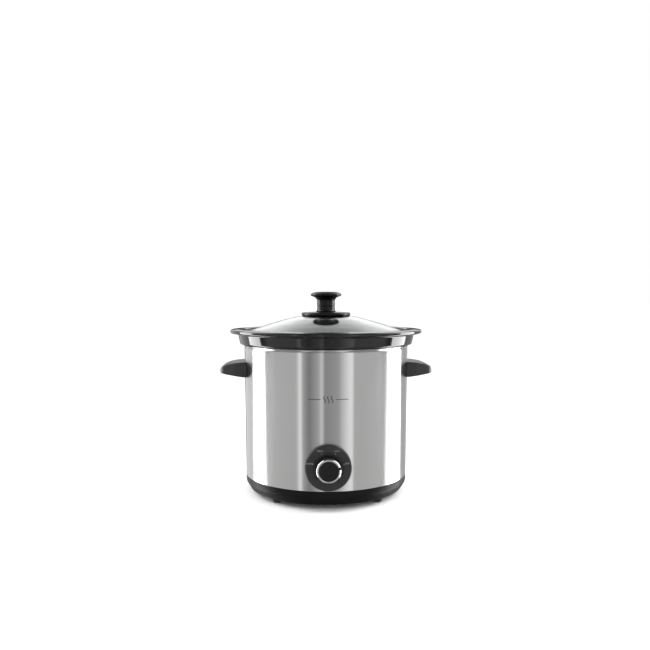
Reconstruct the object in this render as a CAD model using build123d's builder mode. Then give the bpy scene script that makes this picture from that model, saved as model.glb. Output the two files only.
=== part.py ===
"""Round slow cooker: steel housing on a black base, stoneware crock, glass lid and rotary control.

Millimetres. The origin is on the housing's axis at the plane of the feet. +Z is up and the control faces -Y.
"""

import os
from math import cos, radians, sin, sqrt

from build123d import *

os.makedirs("parts", exist_ok=True)

# Housing
SHELL_R = 120.0
SHELL_T = 0.8
SEAM_Z = 27.5
SHELL_TOP_Z = 219.3
HEM_R = 120.7
HEM_DEPTH = 3.2
BASE_BOTTOM_Z = 7.2
BASE_BOTTOM_R = 113.0
FOOT_R = 6.8
FOOT_RING_R = 100.0

# Heating well
WELL_R = 110.5
WELL_T = 0.8
WELL_FLOOR_Z = 84.0

# Crock
LIP_R = 140.0
LIP_TOP_Z = 242.5
BAND_R = 129.0
BAND_FOOT_R = 126.0
LIP_UNDER_Z = 236.6
SHOULDER_Z = 220.4
CROCK_R = 109.5
CROCK_FOOT_R = 105.5
CROCK_BOTTOM_Z = 86.0
CROCK_FLOOR_Z = 95.0
CROCK_INNER_R = 101.5
CROCK_INNER_FOOT_R = 98.0
SEAT_Z = 236.0
SEAT_R = 117.5

# Lid
LID_R = 116.0
GLASS_T = 4.0
DOME_TOP_Z = 261.3
DOME_FLAT_R = 33.0
KNOB_NECK_R = 13.0
KNOB_CAP_R = 22.4
KNOB_TOP_Z = 296.3
FLANGE_R = 36.0

# Handles
HANDLE_TIP_R = 154.5
HANDLE_HALF = 36.0
HANDLE_SCREW_Y = 18.0
HANDLE_SCREW_Z = 183.5

# Control
DIAL_Z = 61.2
DIAL_R = 31.7
DIAL_FACE_Y = 126.0
KNOB_R = 16.4
KNOB_FOOT_R = 18.1
KNOB_FACE_Y = 142.4
RING_IN_R = 13.4
RING_FACE_Y = 143.1
POINTER_DEG = 15.0
SHAFT_R = 3.0
SHAFT_FLAT = 2.2

# Lead gland
GLAND_Z = 50.0
GLAND_BORE_R = 3.9


# ---------------------------------------------------------------- housing

with BuildPart() as outer_shell:
    with BuildSketch(Plane.XZ) as shell_wall:
        with BuildLine():
            Polyline(
                (SHELL_R - SHELL_T, SEAM_Z),
                (SHELL_R, SEAM_Z),
                (SHELL_R, SHELL_TOP_Z - HEM_DEPTH),
                (HEM_R, SHELL_TOP_Z - HEM_DEPTH + 0.7),
                (HEM_R, SHELL_TOP_Z),
                (SHELL_R - 2.6, SHELL_TOP_Z),
                (SHELL_R - 2.6, SHELL_TOP_Z - HEM_DEPTH),
                (SHELL_R - SHELL_T, SHELL_TOP_Z - HEM_DEPTH),
                close=True,
            )
        make_face()
        top_corners = shell_wall.vertices().sort_by(Axis.Y)[-2:]
        fillet(top_corners, radius=1.2)
    revolve(axis=Axis.Z)
    with BuildSketch(Plane.XZ.offset(SHELL_R + 10)):
        with Locations((0, DIAL_Z)):
            Circle(5.3)
    extrude(amount=-30, mode=Mode.SUBTRACT)
    with BuildSketch(Plane.XZ.offset(-(SHELL_R + 10))):
        with Locations((0, GLAND_Z)):
            Circle(6.4)
    extrude(amount=30, mode=Mode.SUBTRACT)
    with BuildSketch(Plane.YZ):
        with Locations((-HANDLE_SCREW_Y, HANDLE_SCREW_Z), (HANDLE_SCREW_Y, HANDLE_SCREW_Z)):
            Circle(2.4)
    extrude(amount=SHELL_R + 10, both=True, mode=Mode.SUBTRACT)
outer_shell.part.label = "outer_shell"
export_step(outer_shell.part, "parts/outer_shell.step")

with BuildPart() as base_tray:
    with BuildSketch(Plane.XZ) as tray_wall:
        with BuildLine():
            Polyline(
                (0, BASE_BOTTOM_Z + 5.0),
                (15.0, BASE_BOTTOM_Z + 5.0),
                (18.0, BASE_BOTTOM_Z),
                (BASE_BOTTOM_R, BASE_BOTTOM_Z),
                (SHELL_R, SEAM_Z - 8.9),
                (SHELL_R, SEAM_Z),
                (SHELL_R - 1.1, SEAM_Z),
                (SHELL_R - 1.1, SEAM_Z + 5.5),
                (SHELL_R - 3.4, SEAM_Z + 5.5),
                (SHELL_R - 3.4, SEAM_Z - 8.0),
                (BASE_BOTTOM_R - 2.2, BASE_BOTTOM_Z + 2.5),
                (19.6, BASE_BOTTOM_Z + 2.5),
                (16.6, BASE_BOTTOM_Z + 7.5),
                (0, BASE_BOTTOM_Z + 7.5),
                close=True,
            )
        make_face()
        outer_turn = tray_wall.vertices().sort_by_distance((SHELL_R, SEAM_Z - 8.9, 0))[0]
        fillet(outer_turn, radius=11.0)
        lower_turn = tray_wall.vertices().sort_by_distance((BASE_BOTTOM_R, BASE_BOTTOM_Z, 0))[0]
        fillet(lower_turn, radius=1.8)
    revolve(axis=Axis.Z)
    with BuildSketch(Plane.XY):
        Circle(3.0)
        with PolarLocations(radius=FOOT_RING_R, count=4, start_angle=45):
            Circle(3.3)
        with PolarLocations(radius=52, count=12, start_angle=15):
            SlotOverall(22, 3.6)
    extrude(amount=SEAM_Z, mode=Mode.SUBTRACT)
base_tray.part.label = "base_tray"
export_step(base_tray.part, "parts/base_tray.step")

FOOT_XY = FOOT_RING_R * sqrt(0.5)
FEET = {
    "foot_front_left": (-FOOT_XY, -FOOT_XY),
    "foot_front_right": (FOOT_XY, -FOOT_XY),
    "foot_rear_left": (-FOOT_XY, FOOT_XY),
    "foot_rear_right": (FOOT_XY, FOOT_XY),
}
for foot_name, (foot_x, foot_y) in FEET.items():
    with BuildPart() as foot:
        with BuildSketch(Plane.XZ):
            with BuildLine():
                Polyline(
                    (0, 0),
                    (FOOT_R - 0.8, 0),
                    (FOOT_R, 0.8),
                    (FOOT_R + 0.5, BASE_BOTTOM_Z),
                    (3.2, BASE_BOTTOM_Z),
                    (3.2, BASE_BOTTOM_Z + 2.6),
                    (4.3, BASE_BOTTOM_Z + 3.0),
                    (2.4, BASE_BOTTOM_Z + 6.0),
                    (0, BASE_BOTTOM_Z + 6.0),
                    close=True,
                )
            make_face()
        revolve(axis=Axis.Z)
    foot.part.label = foot_name
    placed_foot = foot.part.moved(Location((foot_x, foot_y, 0)))
    placed_foot.label = foot_name
    export_step(placed_foot, f"parts/{foot_name}.step")

# Each handle is a moulding with a curved top, open underneath so that fingers can reach in.
HANDLE_TOP = [
    (SHELL_R - 8, 195.8),
    (SHELL_R + 2, 195.3),
    (SHELL_R + 14, 194.3),
    (SHELL_R + 23, 192.4),
    (SHELL_R + 30, 189.4),
    (HANDLE_TIP_R, 184.6),
]
for side, sign in (("left", -1), ("right", 1)):
    with BuildPart() as handle:
        with BuildSketch(Plane.XZ):
            with BuildLine():
                top_line = Spline(*[(sign * x, z) for x, z in HANDLE_TOP])
                Polyline(
                    top_line @ 1,
                    (sign * HANDLE_TIP_R, 180.6),
                    (sign * (HANDLE_TIP_R - 2.0), 178.6),
                    (sign * (SHELL_R + 2), 174.0),
                    (sign * (SHELL_R - 8), 172.6),
                    top_line @ 0,
                )
            make_face()
        extrude(amount=HANDLE_HALF, both=True)
        with BuildSketch(Plane.XY.offset(150)) as handle_plan:
            with BuildLine():
                Polyline(
                    (0, -HANDLE_HALF),
                    (sign * (SHELL_R + 12), -HANDLE_HALF),
                    (sign * HANDLE_TIP_R, -HANDLE_HALF + 7.5),
                    (sign * HANDLE_TIP_R, HANDLE_HALF - 7.5),
                    (sign * (SHELL_R + 12), HANDLE_HALF),
                    (0, HANDLE_HALF),
                    close=True,
                )
            make_face()
            tip_corners = handle_plan.vertices().filter_by_position(Axis.X, HANDLE_TIP_R - 1, HANDLE_TIP_R + 1)
            if sign < 0:
                tip_corners = handle_plan.vertices().filter_by_position(
                    Axis.X, -HANDLE_TIP_R - 1, -HANDLE_TIP_R + 1
                )
            fillet(tip_corners, radius=12.0)
        extrude(amount=70, mode=Mode.INTERSECT)
        with BuildSketch(Plane.XY):
            Circle(SHELL_R)
        extrude(amount=260, mode=Mode.SUBTRACT)
        # finger recess, open below, with the screw bosses left standing against the shell
        with BuildSketch(Plane.XY.offset(160)) as recess:
            with BuildLine():
                Polyline(
                    (sign * (SHELL_R + 11), -HANDLE_HALF + 5),
                    (sign * (HANDLE_TIP_R - 8), -HANDLE_HALF + 11),
                    (sign * (HANDLE_TIP_R - 8), HANDLE_HALF - 11),
                    (sign * (SHELL_R + 11), HANDLE_HALF - 5),
                    close=True,
                )
            make_face()
            fillet(recess.vertices(), radius=4.0)
        extrude(amount=24.5, mode=Mode.SUBTRACT)
        with BuildSketch(Plane.YZ.offset(sign * (SHELL_R - 10))):
            with Locations((-HANDLE_SCREW_Y, HANDLE_SCREW_Z), (HANDLE_SCREW_Y, HANDLE_SCREW_Z)):
                Circle(2.05)
        extrude(amount=sign * 19.5, mode=Mode.SUBTRACT)
    handle.part.label = f"handle_{side}"
    export_step(handle.part, f"parts/handle_{side}.step")

    with BuildPart() as handle_screws:
        with BuildSketch(Plane.YZ.offset(sign * 114.4)):
            with Locations((-HANDLE_SCREW_Y, HANDLE_SCREW_Z), (HANDLE_SCREW_Y, HANDLE_SCREW_Z)):
                Circle(3.8)
        extrude(amount=sign * 2.4)
        with BuildSketch(Plane.YZ.offset(sign * 116.8)):
            with Locations((-HANDLE_SCREW_Y, HANDLE_SCREW_Z), (HANDLE_SCREW_Y, HANDLE_SCREW_Z)):
                Circle(2.0)
        extrude(amount=sign * 11.5)
    handle_screws.part.label = f"handle_screws_{side}"
    export_step(handle_screws.part, f"parts/handle_screws_{side}.step")

with BuildPart() as cord_gland:
    with BuildSketch(Plane.XZ.offset(-116.0)):
        with Locations((0, GLAND_Z)):
            Circle(8.6)
    extrude(amount=-2.6)
    with BuildSketch(Plane.XZ.offset(-118.0)):
        with Locations((0, GLAND_Z)):
            Circle(6.2)
    extrude(amount=-3.0)
    with BuildSketch(Plane.XZ.offset(-120.2)):
        with Locations((0, GLAND_Z)):
            Circle(8.6)
    extrude(amount=-3.2)
    fillet(cord_gland.faces().sort_by(Axis.Y)[-1].outer_wire().edges(), radius=1.2)
    with BuildSketch(Plane.XZ.offset(-110.0)):
        with Locations((0, GLAND_Z)):
            Circle(GLAND_BORE_R)
    extrude(amount=-20, mode=Mode.SUBTRACT)
cord_gland.part.label = "cord_gland"
export_step(cord_gland.part, "parts/cord_gland.step")


# ---------------------------------------------------------------- heating well and its wiring

with BuildPart() as inner_well:
    with BuildSketch(Plane.XZ) as well_wall:
        with BuildLine():
            Polyline(
                (0, WELL_FLOOR_Z),
                (WELL_R + WELL_T, WELL_FLOOR_Z),
                (WELL_R + WELL_T, SHELL_TOP_Z),
                (SHELL_R - 0.8, SHELL_TOP_Z),
                (SHELL_R - 0.8, SHELL_TOP_Z + WELL_T),
                (WELL_R, SHELL_TOP_Z + WELL_T),
                (WELL_R, WELL_FLOOR_Z + WELL_T),
                (0, WELL_FLOOR_Z + WELL_T),
                close=True,
            )
        make_face()
        well_outer_turn = well_wall.vertices().sort_by_distance((WELL_R + WELL_T, WELL_FLOOR_Z, 0))[0]
        fillet(well_outer_turn, radius=16.8)
        well_inner_turn = well_wall.vertices().sort_by_distance((WELL_R, WELL_FLOOR_Z + WELL_T, 0))[0]
        fillet(well_inner_turn, radius=16.0)
    revolve(axis=Axis.Z)
inner_well.part.label = "inner_well"
export_step(inner_well.part, "parts/inner_well.step")

with BuildPart() as well_stud:
    Cylinder(9.0, 1.6, align=(Align.CENTER, Align.CENTER, Align.MIN))
    with Locations((0, 0, 1.6)):
        Cylinder(2.5, 75.4, align=(Align.CENTER, Align.CENTER, Align.MIN))
well_stud_part = well_stud.part.rotate(Axis.X, 180).moved(Location((0, 0, WELL_FLOOR_Z)))
well_stud_part.label = "well_stud"
export_step(well_stud_part, "parts/well_stud.step")

with BuildPart() as base_washer:
    with BuildSketch(Plane.XY.offset(BASE_BOTTOM_Z + 4.0)):
        Circle(8.0)
        Circle(2.7, mode=Mode.SUBTRACT)
    extrude(amount=1.0)
base_washer.part.label = "base_washer"
export_step(base_washer.part, "parts/base_washer.step")

with BuildPart() as base_nut:
    with BuildSketch(Plane.XY.offset(BASE_BOTTOM_Z)):
        RegularPolygon(radius=4.0, side_count=6, major_radius=False)
        Circle(2.5, mode=Mode.SUBTRACT)
    extrude(amount=4.0)
base_nut.part.label = "base_nut"
export_step(base_nut.part, "parts/base_nut.step")

# The band wraps the well with a gap at the rear, where its clamp pulls it tight.
BAND_IN_R = WELL_R + WELL_T + 0.1
BAND_OUT_R = BAND_IN_R + 1.8
BAND_GAP_HALF = 9.0
with BuildPart() as heater_band:
    with BuildSketch(Plane.XY.offset(106)):
        Circle(BAND_OUT_R)
        Circle(BAND_IN_R, mode=Mode.SUBTRACT)
        with Locations((0, BAND_IN_R)):
            Rectangle(2 * BAND_GAP_HALF, 12, mode=Mode.SUBTRACT)
    extrude(amount=42)
heater_band.part.label = "heater_band"
export_step(heater_band.part, "parts/heater_band.step")

with BuildPart() as band_clamp:
    with BuildSketch(Plane.XY.offset(122)):
        with Locations((-BAND_GAP_HALF + 1.0, 114.3), (BAND_GAP_HALF - 1.0, 114.3)):
            Rectangle(1.6, 5.4)
    extrude(amount=10)
    with BuildSketch(Plane.YZ.offset(-12.5)):
        with Locations((115.5, 127)):
            Circle(1.2)
    extrude(amount=25)
    with BuildSketch(Plane.YZ.offset(-12.5)):
        with Locations((115.5, 127)):
            RegularPolygon(radius=1.9, side_count=6, major_radius=False)
    extrude(amount=2.4)
    with BuildSketch(Plane.YZ.offset(12.5)):
        with Locations((115.5, 127)):
            Circle(2.1)
    extrude(amount=-2.2)
band_clamp.part.label = "band_clamp"
export_step(band_clamp.part, "parts/band_clamp.step")

TERMINAL_R = BAND_OUT_R + 1.3
TERMINAL_DEG = 12.5
TERMINAL_X = TERMINAL_R * sin(radians(TERMINAL_DEG))
TERMINAL_Y = TERMINAL_R * cos(radians(TERMINAL_DEG))
TERMINALS = (
    Location((-TERMINAL_X, TERMINAL_Y, 0), (0, 0, TERMINAL_DEG)),
    Location((TERMINAL_X, TERMINAL_Y, 0), (0, 0, -TERMINAL_DEG)),
)
with BuildPart() as heater_terminals:
    with BuildSketch(Plane.XY.offset(109)):
        with Locations(*TERMINALS):
            Rectangle(6.3, 0.8)
    extrude(amount=-13)
    with BuildSketch(Plane.XY.offset(109)):
        with Locations(*TERMINALS):
            Rectangle(6.3, 2.6)
    extrude(amount=5)
heater_terminals.part.label = "heater_terminals"
export_step(heater_terminals.part, "parts/heater_terminals.step")

FUSE_Z = 78.0
with BuildPart() as thermal_fuse:
    with BuildSketch(Plane.XZ.offset(-26)):
        with Locations((30, FUSE_Z)):
            Circle(2.6)
    extrude(amount=-22)
thermal_fuse.part.label = "thermal_fuse"
export_step(thermal_fuse.part, "parts/thermal_fuse.step")

with BuildPart() as fuse_clip:
    with BuildSketch(Plane.XZ.offset(-31)):
        with Locations((30, WELL_FLOOR_Z - 0.4)):
            Rectangle(20, 0.8)
        with Locations((33.2, FUSE_Z + 1.2)):
            Rectangle(0.8, 9.2)
        with Locations((26.8, FUSE_Z + 1.2)):
            Rectangle(0.8, 9.2)
        with Locations((30, FUSE_Z - 3.4)):
            Rectangle(7.2, 0.8)
    extrude(amount=-10)
fuse_clip.part.label = "fuse_clip"
export_step(fuse_clip.part, "parts/fuse_clip.step")


# ---------------------------------------------------------------- control

with BuildPart() as dial_plate:
    with BuildSketch(Plane.XZ.offset(100)):
        with Locations((0, DIAL_Z)):
            Circle(DIAL_R)
    extrude(amount=DIAL_FACE_Y - 100)
    fillet(dial_plate.faces().sort_by(Axis.Y)[0].edges(), radius=1.6)
    with BuildSketch(Plane.XY):
        Circle(SHELL_R)
    extrude(amount=200, mode=Mode.SUBTRACT)
    with BuildSketch(Plane.XZ.offset(100)):
        with Locations((0, DIAL_Z)):
            Circle(5.2)
    extrude(amount=40, mode=Mode.SUBTRACT)
dial_plate.part.label = "dial_plate"
export_step(dial_plate.part, "parts/dial_plate.step")

SWITCH_FRONT_Y = 118.0
BUSH_END_Y = 130.0
with BuildPart() as switch_body:
    with BuildSketch(Plane.XZ.offset(SWITCH_FRONT_Y - 20)) as switch_outline:
        with Locations((0, DIAL_Z)):
            RectangleRounded(28, 27, 2.0)
    extrude(amount=20)
    with BuildSketch(Plane.XZ.offset(SWITCH_FRONT_Y)):
        with Locations((0, DIAL_Z)):
            Circle(4.9)
    extrude(amount=BUSH_END_Y - SWITCH_FRONT_Y)
    with BuildSketch(Plane.XZ.offset(SWITCH_FRONT_Y - 16)):
        with Locations((0, DIAL_Z)):
            Circle(SHAFT_R + 0.05)
    extrude(amount=40, mode=Mode.SUBTRACT)
switch_body.part.label = "switch_body"
export_step(switch_body.part, "parts/switch_body.step")

with BuildPart() as switch_nut:
    with BuildSketch(Plane.XZ.offset(DIAL_FACE_Y)):
        with Locations((0, DIAL_Z)):
            RegularPolygon(radius=7.0, side_count=6, major_radius=False)
            Circle(4.9, mode=Mode.SUBTRACT)
    extrude(amount=2.6)
switch_nut.part.label = "switch_nut"
export_step(switch_nut.part, "parts/switch_nut.step")

SWITCH_REAR_Y = SWITCH_FRONT_Y - 20
with BuildPart() as switch_terminals:
    with BuildSketch(Plane.XZ.offset(SWITCH_REAR_Y)):
        with Locations((-9, DIAL_Z - 8), (9, DIAL_Z - 8), (-9, DIAL_Z + 8), (9, DIAL_Z + 8)):
            Rectangle(0.8, 6.3)
    extrude(amount=-8)
switch_terminals.part.label = "switch_terminals"
export_step(switch_terminals.part, "parts/switch_terminals.step")

with BuildPart() as switch_shaft:
    with BuildSketch(Plane.XZ.offset(SWITCH_FRONT_Y - 15)):
        with Locations((0, DIAL_Z)):
            Circle(SHAFT_R)
    extrude(amount=KNOB_FACE_Y - 3.0 - SWITCH_FRONT_Y + 15)
    with BuildSketch(Plane.XZ.offset(BUSH_END_Y + 1)):
        with Locations((0, DIAL_Z + SHAFT_FLAT + 2)):
            Rectangle(8, 4)
    extrude(amount=20, mode=Mode.SUBTRACT)
switch_shaft.part.label = "switch_shaft"
export_step(switch_shaft.part, "parts/switch_shaft.step")

POINTER_X = cos(radians(POINTER_DEG))
POINTER_Z = sin(radians(POINTER_DEG))
RING_MID_R = (KNOB_R + RING_IN_R) / 2
with BuildPart() as control_knob:
    with BuildSketch(Plane.XZ.offset(DIAL_FACE_Y + 0.5)):
        with Locations((0, DIAL_Z)):
            Circle(KNOB_FOOT_R)
    with BuildSketch(Plane.XZ.offset(KNOB_FACE_Y)):
        with Locations((0, DIAL_Z)):
            Circle(KNOB_R)
    loft()
    with BuildSketch(Plane.XZ.offset(KNOB_FACE_Y - 2.4)):
        with Locations((0, DIAL_Z)):
            Circle(KNOB_R + 4)
            Circle(RING_IN_R, mode=Mode.SUBTRACT)
        with Locations(Location((RING_MID_R * POINTER_X, DIAL_Z + RING_MID_R * POINTER_Z, 0), (0, 0, POINTER_DEG))):
            Rectangle(KNOB_R - RING_IN_R + 1.2, 3.4, mode=Mode.SUBTRACT)
    extrude(amount=10, mode=Mode.SUBTRACT)
    with BuildSketch(Plane.XZ.offset(100)):
        with Locations((0, DIAL_Z)):
            Circle(11.5)
    extrude(amount=32, mode=Mode.SUBTRACT)
    with BuildSketch(Plane.XZ.offset(100)):
        with Locations((0, DIAL_Z)):
            Circle(SHAFT_R + 0.03)
        with Locations((0, DIAL_Z + SHAFT_FLAT + 2.03)):
            Rectangle(8, 4, mode=Mode.SUBTRACT)
    extrude(amount=KNOB_FACE_Y - 2.8 - 100, mode=Mode.SUBTRACT)
control_knob.part.label = "control_knob"
export_step(control_knob.part, "parts/control_knob.step")

with BuildPart() as knob_ring:
    with BuildSketch(Plane.XZ.offset(KNOB_FACE_Y - 2.4)):
        with Locations((0, DIAL_Z)):
            Circle(KNOB_R)
            Circle(RING_IN_R, mode=Mode.SUBTRACT)
        with Locations(Location((RING_MID_R * POINTER_X, DIAL_Z + RING_MID_R * POINTER_Z, 0), (0, 0, POINTER_DEG))):
            Rectangle(KNOB_R - RING_IN_R + 1.2, 3.6, mode=Mode.SUBTRACT)
    extrude(amount=RING_FACE_Y - KNOB_FACE_Y + 2.4)
    fillet(knob_ring.faces().sort_by(Axis.Y)[0].edges(), radius=0.5)
knob_ring.part.label = "knob_ring"
export_step(knob_ring.part, "parts/knob_ring.step")


# ---------------------------------------------------------------- leads inside the housing

LEAD_R = 1.3
LEADS = {
    "lead_switch_heater": [
        (9, -90, DIAL_Z + 8),
        (9, -70, DIAL_Z + 8),
        (-52, -30, 44),
        (-52, 60, 44),
        (-TERMINAL_X, 96, 60),
        (-TERMINAL_X, TERMINAL_Y, 78),
        (-TERMINAL_X, TERMINAL_Y, 96),
    ],
    "lead_switch_fuse": [
        (-9, -90, DIAL_Z + 8),
        (-9, -62, DIAL_Z + 8),
        (30, -20, FUSE_Z),
        (30, 26, FUSE_Z),
    ],
    "lead_fuse_heater": [
        (30, 48, FUSE_Z),
        (30, 70, FUSE_Z),
        (TERMINAL_X, 100, 70),
        (TERMINAL_X, TERMINAL_Y, 80),
        (TERMINAL_X, TERMINAL_Y, 96),
    ],
}
for lead_name, lead_points in LEADS.items():
    with BuildPart() as lead:
        with BuildLine() as lead_path:
            FilletPolyline(*lead_points, radius=6.0)
        with BuildSketch(Plane(origin=lead_path.line @ 0, z_dir=lead_path.line % 0)):
            Circle(LEAD_R)
        sweep(path=lead_path.line)
    lead.part.label = lead_name
    export_step(lead.part, f"parts/{lead_name}.step")


# ---------------------------------------------------------------- crock

with BuildPart() as crock:
    with BuildSketch(Plane.XZ) as crock_wall:
        with BuildLine():
            Polyline(
                (0, CROCK_BOTTOM_Z + 1.5),
                (80.0, CROCK_BOTTOM_Z + 1.5),
                (82.0, CROCK_BOTTOM_Z),
                (CROCK_FOOT_R - 0.6, CROCK_BOTTOM_Z),
                (CROCK_R, SHOULDER_Z),
                (BAND_FOOT_R, SHOULDER_Z),
                (BAND_R, LIP_UNDER_Z - 1.4),
                (LIP_R, LIP_UNDER_Z),
                (LIP_R, LIP_TOP_Z - 0.9),
                (SEAT_R + 10, LIP_TOP_Z),
                (SEAT_R, LIP_TOP_Z - 0.4),
                (SEAT_R, SEAT_Z),
                (111.5, SEAT_Z),
                (111.5, 232.0),
                (CROCK_INNER_R, 222.0),
                (CROCK_INNER_FOOT_R, CROCK_FLOOR_Z),
                (0, CROCK_FLOOR_Z),
                close=True,
            )
        make_face()
        turns = [
            ((CROCK_FOOT_R - 0.6, CROCK_BOTTOM_Z, 0), 17.0),
            ((CROCK_R, SHOULDER_Z, 0), 1.2),
            ((BAND_FOOT_R, SHOULDER_Z, 0), 3.0),
            ((BAND_R, LIP_UNDER_Z - 1.4, 0), 1.5),
            ((LIP_R, LIP_UNDER_Z, 0), 2.2),
            ((LIP_R, LIP_TOP_Z - 0.9, 0), 2.2),
            ((SEAT_R + 10, LIP_TOP_Z, 0), 30.0),
            ((SEAT_R, LIP_TOP_Z - 0.4, 0), 2.0),
            ((111.5, SEAT_Z, 0), 1.2),
            ((111.5, 232.0, 0), 5.0),
            ((CROCK_INNER_R, 222.0, 0), 9.0),
            ((CROCK_INNER_FOOT_R, CROCK_FLOOR_Z, 0), 22.0),
        ]
        for spot, size in turns:
            turn = crock_wall.vertices().sort_by_distance(spot)[0]
            fillet(turn, radius=size)
    revolve(axis=Axis.Z)
crock.part.label = "crock"
export_step(crock.part, "parts/crock.step")


# ---------------------------------------------------------------- lid

with BuildPart() as lid_glass:
    with BuildSketch(Plane.XZ):
        with BuildLine():
            dome_top = Spline(
                (DOME_FLAT_R, DOME_TOP_Z),
                (42.0, 260.2),
                (50.2, 258.4),
                (64.9, 254.6),
                (85.6, 248.6),
                (110.5, 240.5),
                tangents=[(1, 0), (1, -0.28)],
            )
            dome_under = Spline(
                (DOME_FLAT_R - 1, DOME_TOP_Z - GLASS_T),
                (41.0, 256.1),
                (49.0, 254.4),
                (63.7, 250.6),
                (84.4, 244.6),
                (108.5, 236.6),
                tangents=[(1, 0), (1, -0.28)],
            )
            Polyline(dome_top @ 1, (LID_R - 0.8, 239.7), (LID_R, 238.9), (LID_R, 236.9))
            Polyline((LID_R, 236.9), (LID_R - 0.6, SEAT_Z + 0.3), dome_under @ 1)
            Polyline(
                dome_top @ 0,
                (0, DOME_TOP_Z),
                (0, DOME_TOP_Z - GLASS_T),
                dome_under @ 0,
            )
        make_face()
    revolve(axis=Axis.Z)
    with BuildSketch(Plane.XY.offset(240)):
        Circle(4.2)
    extrude(amount=40, mode=Mode.SUBTRACT)
lid_glass.part.label = "lid_glass"
export_step(lid_glass.part, "parts/lid_glass.step")

FLANGE_Z = DOME_TOP_Z + 0.1
with BuildPart() as lid_knob_flange:
    with BuildSketch(Plane.XZ) as flange_wall:
        with BuildLine():
            Polyline(
                (5.3, FLANGE_Z + 1.2),
                (14.0, FLANGE_Z + 1.2),
                (14.0, FLANGE_Z),
                (FLANGE_R, FLANGE_Z),
                (FLANGE_R, FLANGE_Z + 4.6),
                (20.0, FLANGE_Z + 5.4),
                (5.3, FLANGE_Z + 5.4),
                close=True,
            )
        make_face()
        fillet(flange_wall.vertices().sort_by_distance((FLANGE_R, FLANGE_Z, 0))[0], radius=1.8)
        fillet(flange_wall.vertices().sort_by_distance((FLANGE_R, FLANGE_Z + 4.6, 0))[0], radius=2.4)
    revolve(axis=Axis.Z)
lid_knob_flange.part.label = "lid_knob_flange"
export_step(lid_knob_flange.part, "parts/lid_knob_flange.step")

NECK_BOTTOM_Z = FLANGE_Z + 5.5
CAP_BOTTOM_Z = 287.4
with BuildPart() as lid_knob:
    with BuildSketch(Plane.XZ) as knob_wall:
        with BuildLine():
            Polyline(
                (0, KNOB_TOP_Z),
                (16.5, KNOB_TOP_Z - 0.4),
                (KNOB_CAP_R, KNOB_TOP_Z - 3.2),
                (KNOB_CAP_R, KNOB_TOP_Z - 5.6),
                (KNOB_NECK_R + 1.5, CAP_BOTTOM_Z),
                (KNOB_NECK_R, CAP_BOTTOM_Z - 3.0),
                (KNOB_NECK_R, 276.0),
                (KNOB_NECK_R - 0.8, 275.4),
                (KNOB_NECK_R, 274.8),
                (KNOB_NECK_R, NECK_BOTTOM_Z + 2.5),
                (KNOB_NECK_R + 1.6, NECK_BOTTOM_Z),
                (5.3, NECK_BOTTOM_Z),
                (5.3, NECK_BOTTOM_Z + 16),
                (3.0, NECK_BOTTOM_Z + 16),
                (3.0, NECK_BOTTOM_Z + 19),
                (0, NECK_BOTTOM_Z + 19),
                close=True,
            )
        make_face()
        fillet(knob_wall.vertices().sort_by_distance((16.5, KNOB_TOP_Z - 0.4, 0))[0], radius=4.0)
        fillet(knob_wall.vertices().sort_by_distance((KNOB_CAP_R, KNOB_TOP_Z - 3.2, 0))[0], radius=1.4)
        fillet(knob_wall.vertices().sort_by_distance((KNOB_CAP_R, KNOB_TOP_Z - 5.6, 0))[0], radius=1.1)
    revolve(axis=Axis.Z)
lid_knob.part.label = "lid_knob"
export_step(lid_knob.part, "parts/lid_knob.step")

with BuildPart() as knob_insert:
    with BuildSketch(Plane.XY.offset(NECK_BOTTOM_Z + 0.2)):
        Circle(5.2)
        Circle(2.55, mode=Mode.SUBTRACT)
    extrude(amount=15.6)
knob_insert.part.label = "knob_insert"
export_step(knob_insert.part, "parts/knob_insert.step")

with BuildPart() as upper_gasket:
    with BuildSketch(Plane.XY.offset(DOME_TOP_Z + 0.05)):
        Circle(13.6)
        Circle(4.2, mode=Mode.SUBTRACT)
    extrude(amount=1.2)
upper_gasket.part.label = "upper_gasket"
export_step(upper_gasket.part, "parts/upper_gasket.step")

UNDER_Z = DOME_TOP_Z - GLASS_T
with BuildPart() as lower_gasket:
    with BuildSketch(Plane.XY.offset(UNDER_Z - 1.3)):
        Circle(11.0)
        Circle(4.2, mode=Mode.SUBTRACT)
    extrude(amount=1.2)
lower_gasket.part.label = "lower_gasket"
export_step(lower_gasket.part, "parts/lower_gasket.step")

with BuildPart() as lid_washer:
    with BuildSketch(Plane.XY.offset(UNDER_Z - 2.3)):
        Circle(10.0)
        Circle(2.8, mode=Mode.SUBTRACT)
    extrude(amount=1.0)
lid_washer.part.label = "lid_washer"
export_step(lid_washer.part, "parts/lid_washer.step")

with BuildPart() as lid_screw:
    with BuildSketch(Plane.XY.offset(UNDER_Z - 5.1)):
        Circle(5.2)
    extrude(amount=2.8)
    fillet(lid_screw.faces().sort_by(Axis.Z)[0].edges(), radius=1.6)
    with BuildSketch(Plane.XY.offset(UNDER_Z - 5.2)):
        Rectangle(6.4, 1.2)
        Rectangle(1.2, 6.4)
    extrude(amount=1.6, mode=Mode.SUBTRACT)
    with BuildSketch(Plane.XY.offset(UNDER_Z - 2.3)):
        Circle(2.5)
    extrude(amount=NECK_BOTTOM_Z + 14 - UNDER_Z + 2.3)
lid_screw.part.label = "lid_screw"
export_step(lid_screw.part, "parts/lid_screw.step")
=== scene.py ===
from math import cos, hypot, pi, radians, sin, sqrt, tan

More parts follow.
